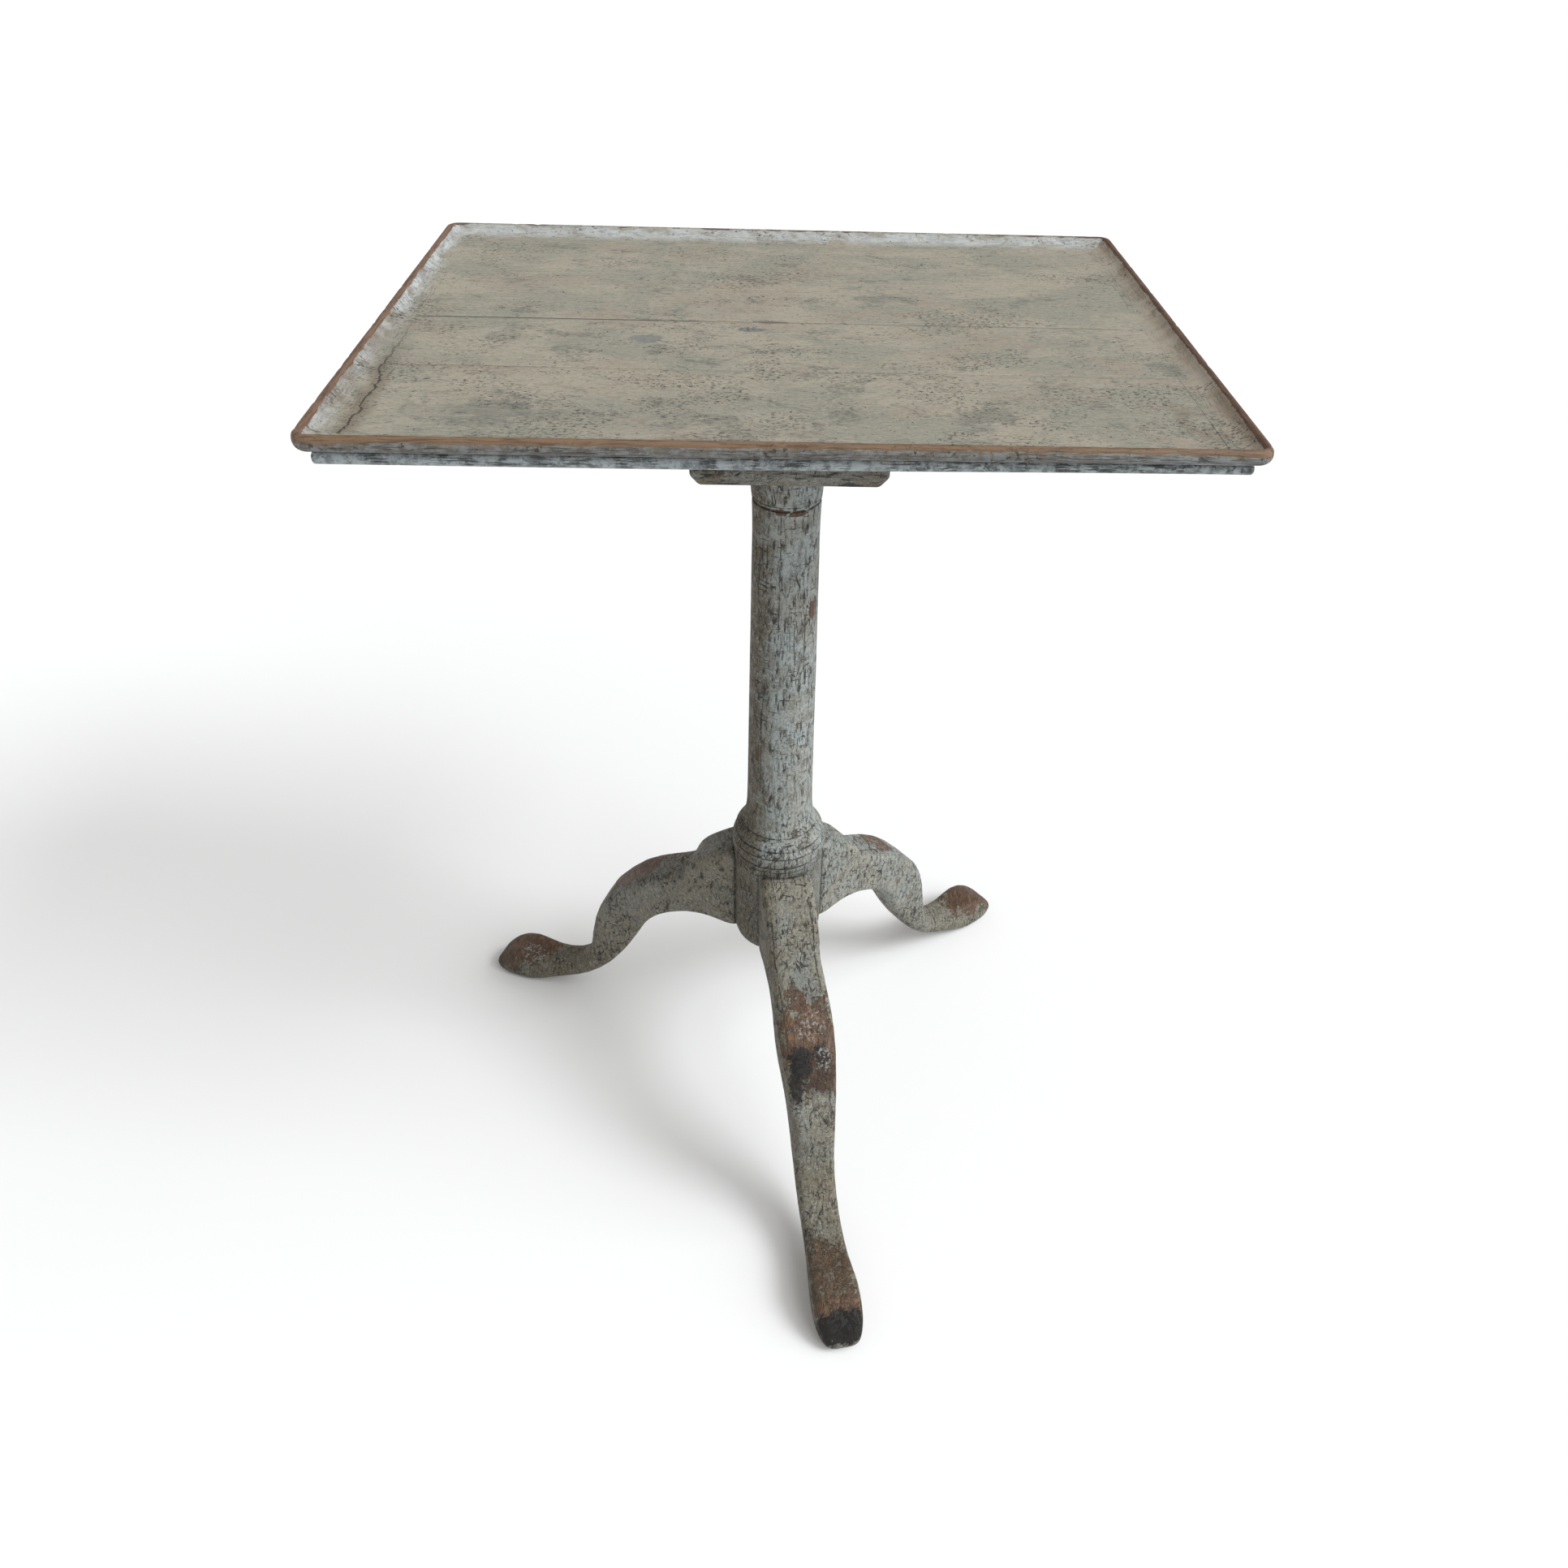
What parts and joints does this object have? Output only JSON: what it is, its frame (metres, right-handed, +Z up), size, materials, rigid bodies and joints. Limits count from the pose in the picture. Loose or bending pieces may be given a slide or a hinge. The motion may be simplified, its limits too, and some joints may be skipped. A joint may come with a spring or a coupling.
{
  "type": "tilt top table",
  "caption": "Small tray-topped tripod table: a turned pedestal on cabriole legs carries a rimmed rectangular top that tilts upright on a head block.",
  "frame": {"origin": "on the floor, at the middle of the table's outer box seen from above", "axes": "+Z up through the top's flat field; the front edge of the top faces -Y and +X is to its right"},
  "size_m": [0.5598, 0.5272, 0.74],
  "materials": {
    "column": "worn pale grey-blue paint over brown wood",
    "leg_front": "worn pale grey-blue paint over brown wood",
    "leg_left": "worn pale grey-blue paint over brown wood",
    "leg_right": "worn pale grey-blue paint over brown wood",
    "head_block": "worn pale grey-blue paint over brown wood",
    "rim_front": "worn pale grey-blue paint over brown wood",
    "rim_back": "worn pale grey-blue paint over brown wood",
    "rim_left": "worn pale grey-blue paint over brown wood",
    "rim_right": "worn pale grey-blue paint over brown wood",
    "board_front": "worn beige paint, rubbed along the grain",
    "board_middle": "worn beige paint, rubbed along the grain",
    "board_back": "worn beige paint, rubbed along the grain",
    "tenon_wedge": "bare aged wood",
    "batten_left": "bare aged wood",
    "batten_right": "bare aged wood",
    "pivot_pin_left": "bare aged wood",
    "pivot_pin_right": "bare aged wood",
    "catch_pad": "bare aged wood",
    "brace_plate": "hand-forged iron, dulled",
    "brace_screw": "hand-forged iron, dulled",
    "catch_keeper": "hand-forged iron, dulled",
    "catch_plate": "hand-forged iron, dulled",
    "catch_staple_rear": "hand-forged iron, dulled",
    "catch_staple_front": "hand-forged iron, dulled",
    "catch_bolt": "hand-forged iron, dulled",
    "catch_knob": "hand-forged iron, dulled",
    "batten_screw_left_1": "hand-forged iron, dulled",
    "batten_screw_left_2": "hand-forged iron, dulled",
    "batten_screw_left_3": "hand-forged iron, dulled",
    "batten_screw_right_1": "hand-forged iron, dulled",
    "batten_screw_right_2": "hand-forged iron, dulled",
    "batten_screw_right_3": "hand-forged iron, dulled",
    "brace_nail_front_1": "hand-forged iron, dulled",
    "brace_nail_front_2": "hand-forged iron, dulled",
    "brace_nail_left_1": "hand-forged iron, dulled",
    "brace_nail_left_2": "hand-forged iron, dulled",
    "brace_nail_right_1": "hand-forged iron, dulled",
    "brace_nail_right_2": "hand-forged iron, dulled",
    "catch_nail_1": "hand-forged iron, dulled",
    "catch_nail_2": "hand-forged iron, dulled",
    "catch_nail_3": "hand-forged iron, dulled",
    "catch_nail_4": "hand-forged iron, dulled",
    "keeper_nail_1": "hand-forged iron, dulled",
    "keeper_nail_2": "hand-forged iron, dulled"
  },
  "bodies": {
    "pedestal": {"column": "column", "tenon_wedge": "tenon_wedge", "head_block": "head_block", "leg_front": "leg_front", "leg_left": "leg_left", "leg_right": "leg_right", "brace_plate": "brace_plate", "brace_screw": "brace_screw", "catch_keeper": "catch_keeper", "brace_nail_front_1": "brace_nail_front_1", "brace_nail_front_2": "brace_nail_front_2", "brace_nail_left_1": "brace_nail_left_1", "brace_nail_left_2": "brace_nail_left_2", "brace_nail_right_1": "brace_nail_right_1", "brace_nail_right_2": "brace_nail_right_2", "keeper_nail_1": "keeper_nail_1", "keeper_nail_2": "keeper_nail_2"},
    "top": {"board_front": "board_front", "board_middle": "board_middle", "board_back": "board_back", "rim_front": "rim_front", "rim_back": "rim_back", "rim_left": "rim_left", "rim_right": "rim_right", "batten_left": "batten_left", "batten_right": "batten_right", "pivot_pin_left": "pivot_pin_left", "pivot_pin_right": "pivot_pin_right", "catch_pad": "catch_pad", "catch_plate": "catch_plate", "catch_staple_rear": "catch_staple_rear", "catch_staple_front": "catch_staple_front", "batten_screw_left_1": "batten_screw_left_1", "batten_screw_left_2": "batten_screw_left_2", "batten_screw_left_3": "batten_screw_left_3", "batten_screw_right_1": "batten_screw_right_1", "batten_screw_right_2": "batten_screw_right_2", "batten_screw_right_3": "batten_screw_right_3", "catch_nail_1": "catch_nail_1", "catch_nail_2": "catch_nail_2", "catch_nail_3": "catch_nail_3", "catch_nail_4": "catch_nail_4"},
    "bolt": {"catch_bolt": "catch_bolt", "catch_knob": "catch_knob"}
  },
  "joints": [
    {"name": "top_tilt", "type": "hinge", "parent": "pedestal", "child": "top", "pos_m": [0.01138, 0.0986, 0.6955], "axis": [-1, 0, 0], "range_deg": [0, 90]},
    {"name": "catch_slide", "type": "slide", "parent": "top", "child": "bolt", "axis": [0, 1, 0], "range_m": [0, 0.013]}
  ]
}
